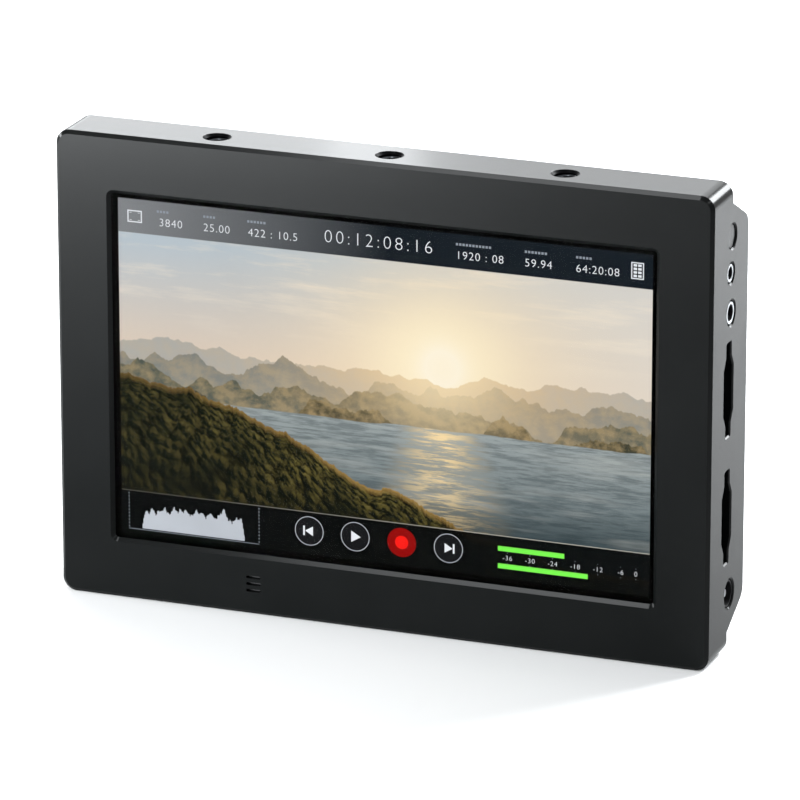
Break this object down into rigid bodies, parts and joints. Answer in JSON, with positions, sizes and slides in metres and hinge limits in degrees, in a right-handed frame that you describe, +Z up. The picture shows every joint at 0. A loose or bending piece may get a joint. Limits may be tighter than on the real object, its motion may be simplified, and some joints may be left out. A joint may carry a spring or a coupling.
{
  "type": "recording monitor",
  "caption": "Slim on-camera video monitor and recorder: metal body round a touch screen, card slots and jacks at the side, camera threads top and bottom, battery bays behind.",
  "frame": {"origin": "centre of the outer box's bottom face, on the surface that the monitor stands on", "axes": "+X to the right seen from the front, +Y from the screen to the back, +Z up"},
  "size_m": [0.185, 0.03, 0.1305],
  "materials": {
    "body_metal": "bead blasted and anodised charcoal",
    "cover_plastic": "fine moulded grain, charcoal",
    "black_screws": "black oxide steel",
    "pillar_metal": "plain turned",
    "screen_glass": "clear, smooth",
    "black_tape": "matt black foam tape",
    "touch_film": "clear film",
    "display": "lit screen picture with controls",
    "light_guide": "white diffuser stack",
    "tray_metal": "bare sheet steel",
    "ribbon_film": "amber film",
    "plate_metal": "bare rolled sheet",
    "steel_screws": "zinc plated",
    "board_green": "solder mask",
    "spacer_brass": "turned brass",
    "chip_black": "moulded chip cases",
    "cell_steel": "plated cell case",
    "holder_plastic": "moulded",
    "pad_grey": "soft grey pad",
    "sink_metal": "grey anodised",
    "fan_plastic": "black moulded",
    "bush_brass": "sintered bush",
    "gasket_foam": "closed foam",
    "tray_plastic": "black moulded",
    "terminal_plastic": "black moulded",
    "contact_gold": "gold plated",
    "latch_plastic": "moulded thumb pad",
    "spring_steel": "spring steel strip",
    "socket_plastic": "black moulded",
    "shell_metal": "bright sheet steel",
    "slider_plastic": "natural moulded",
    "button_metal": "bead blasted, as the body",
    "plunger_plastic": "moulded",
    "switch_plastic": "black moulded",
    "bright_ring": "bright nickel",
    "coax_metal": "nickel plated",
    "audio_metal": "black nickel",
    "speaker_black": "moulded case, paper cone",
    "mesh_cloth": "acoustic cloth"
  },
  "bodies": {
    "monitor": {"housing": "body_metal", "rear_cover": "cover_plastic", "rear_cover_screws": "black_screws", "rear_pillars": "pillar_metal", "cover_glass": "screen_glass", "glass_tape": "black_tape", "touch_sensor": "touch_film", "display_panel": "display", "backlight_unit": "light_guide", "display_chassis": "tray_metal", "display_ribbon": "ribbon_film", "mid_frame": "plate_metal", "pan_head_screws": "steel_screws", "main_board": "board_green", "board_spacers": "spacer_brass", "board_parts": "chip_black", "clock_cell": "cell_steel", "cell_holder": "holder_plastic", "thermal_pad": "pad_grey", "heat_sink": "sink_metal", "fan_frame": "fan_plastic", "fan_bush": "bush_brass", "fan_screws": "steel_screws", "fan_gasket": "gasket_foam", "battery_tray": "tray_plastic", "terminal_block_1": "terminal_plastic", "terminal_block_2": "terminal_plastic", "terminal_blades": "contact_gold", "latch_spring_1": "spring_steel", "latch_spring_2": "spring_steel", "right_io_board": "board_green", "left_io_board": "board_green", "card_socket_1": "socket_plastic", "card_socket_2": "socket_plastic", "card_shell_1": "shell_metal", "card_shell_2": "shell_metal", "card_contacts": "contact_gold", "power_switch": "switch_plastic", "headphone_jack": "socket_plastic", "remote_jack": "socket_plastic", "jack_bushings": "bright_ring", "dc_inlet": "socket_plastic", "dc_pin": "bright_ring", "video_socket_1": "shell_metal", "video_socket_2": "shell_metal", "coax_socket_1": "coax_metal", "coax_socket_2": "coax_metal", "audio_socket_1": "audio_metal", "audio_socket_2": "audio_metal", "audio_cores": "socket_plastic", "speaker": "speaker_black", "speaker_mesh": "mesh_cloth"},
    "fan": {"fan_rotor": "fan_plastic"},
    "latch_1": {"battery_latch_1": "latch_plastic"},
    "latch_2": {"battery_latch_2": "latch_plastic"},
    "power_key": {"power_button": "button_metal", "switch_plunger": "plunger_plastic"},
    "card_slider_1": {"card_slider_1": "slider_plastic"},
    "card_slider_2": {"card_slider_2": "slider_plastic"}
  },
  "joints": [
    {"name": "fan_spin", "type": "hinge", "parent": "monitor", "child": "fan", "pos_m": [-0.0595, 0.0078, 0.064], "axis": [0, 1, 0], "continuous": true},
    {"name": "latch_1_slide", "type": "slide", "parent": "monitor", "child": "latch_1", "axis": [0, 0, 1], "range_m": [0, 0.0032], "stiffness_N_per_m": 250, "deforming": ["latch_spring_1"]},
    {"name": "latch_2_slide", "type": "slide", "parent": "monitor", "child": "latch_2", "axis": [0, 0, 1], "range_m": [0, 0.0032], "stiffness_N_per_m": 250, "deforming": ["latch_spring_2"]},
    {"name": "power_press", "type": "slide", "parent": "monitor", "child": "power_key", "axis": [-1, 0, 0], "range_m": [0, 0.0006], "stiffness_N_per_m": 1200},
    {"name": "card_push_1", "type": "slide", "parent": "monitor", "child": "card_slider_1", "axis": [-1, 0, 0], "range_m": [0, 0.0045], "stiffness_N_per_m": 150},
    {"name": "card_push_2", "type": "slide", "parent": "monitor", "child": "card_slider_2", "axis": [-1, 0, 0], "range_m": [0, 0.0045], "stiffness_N_per_m": 150}
  ]
}
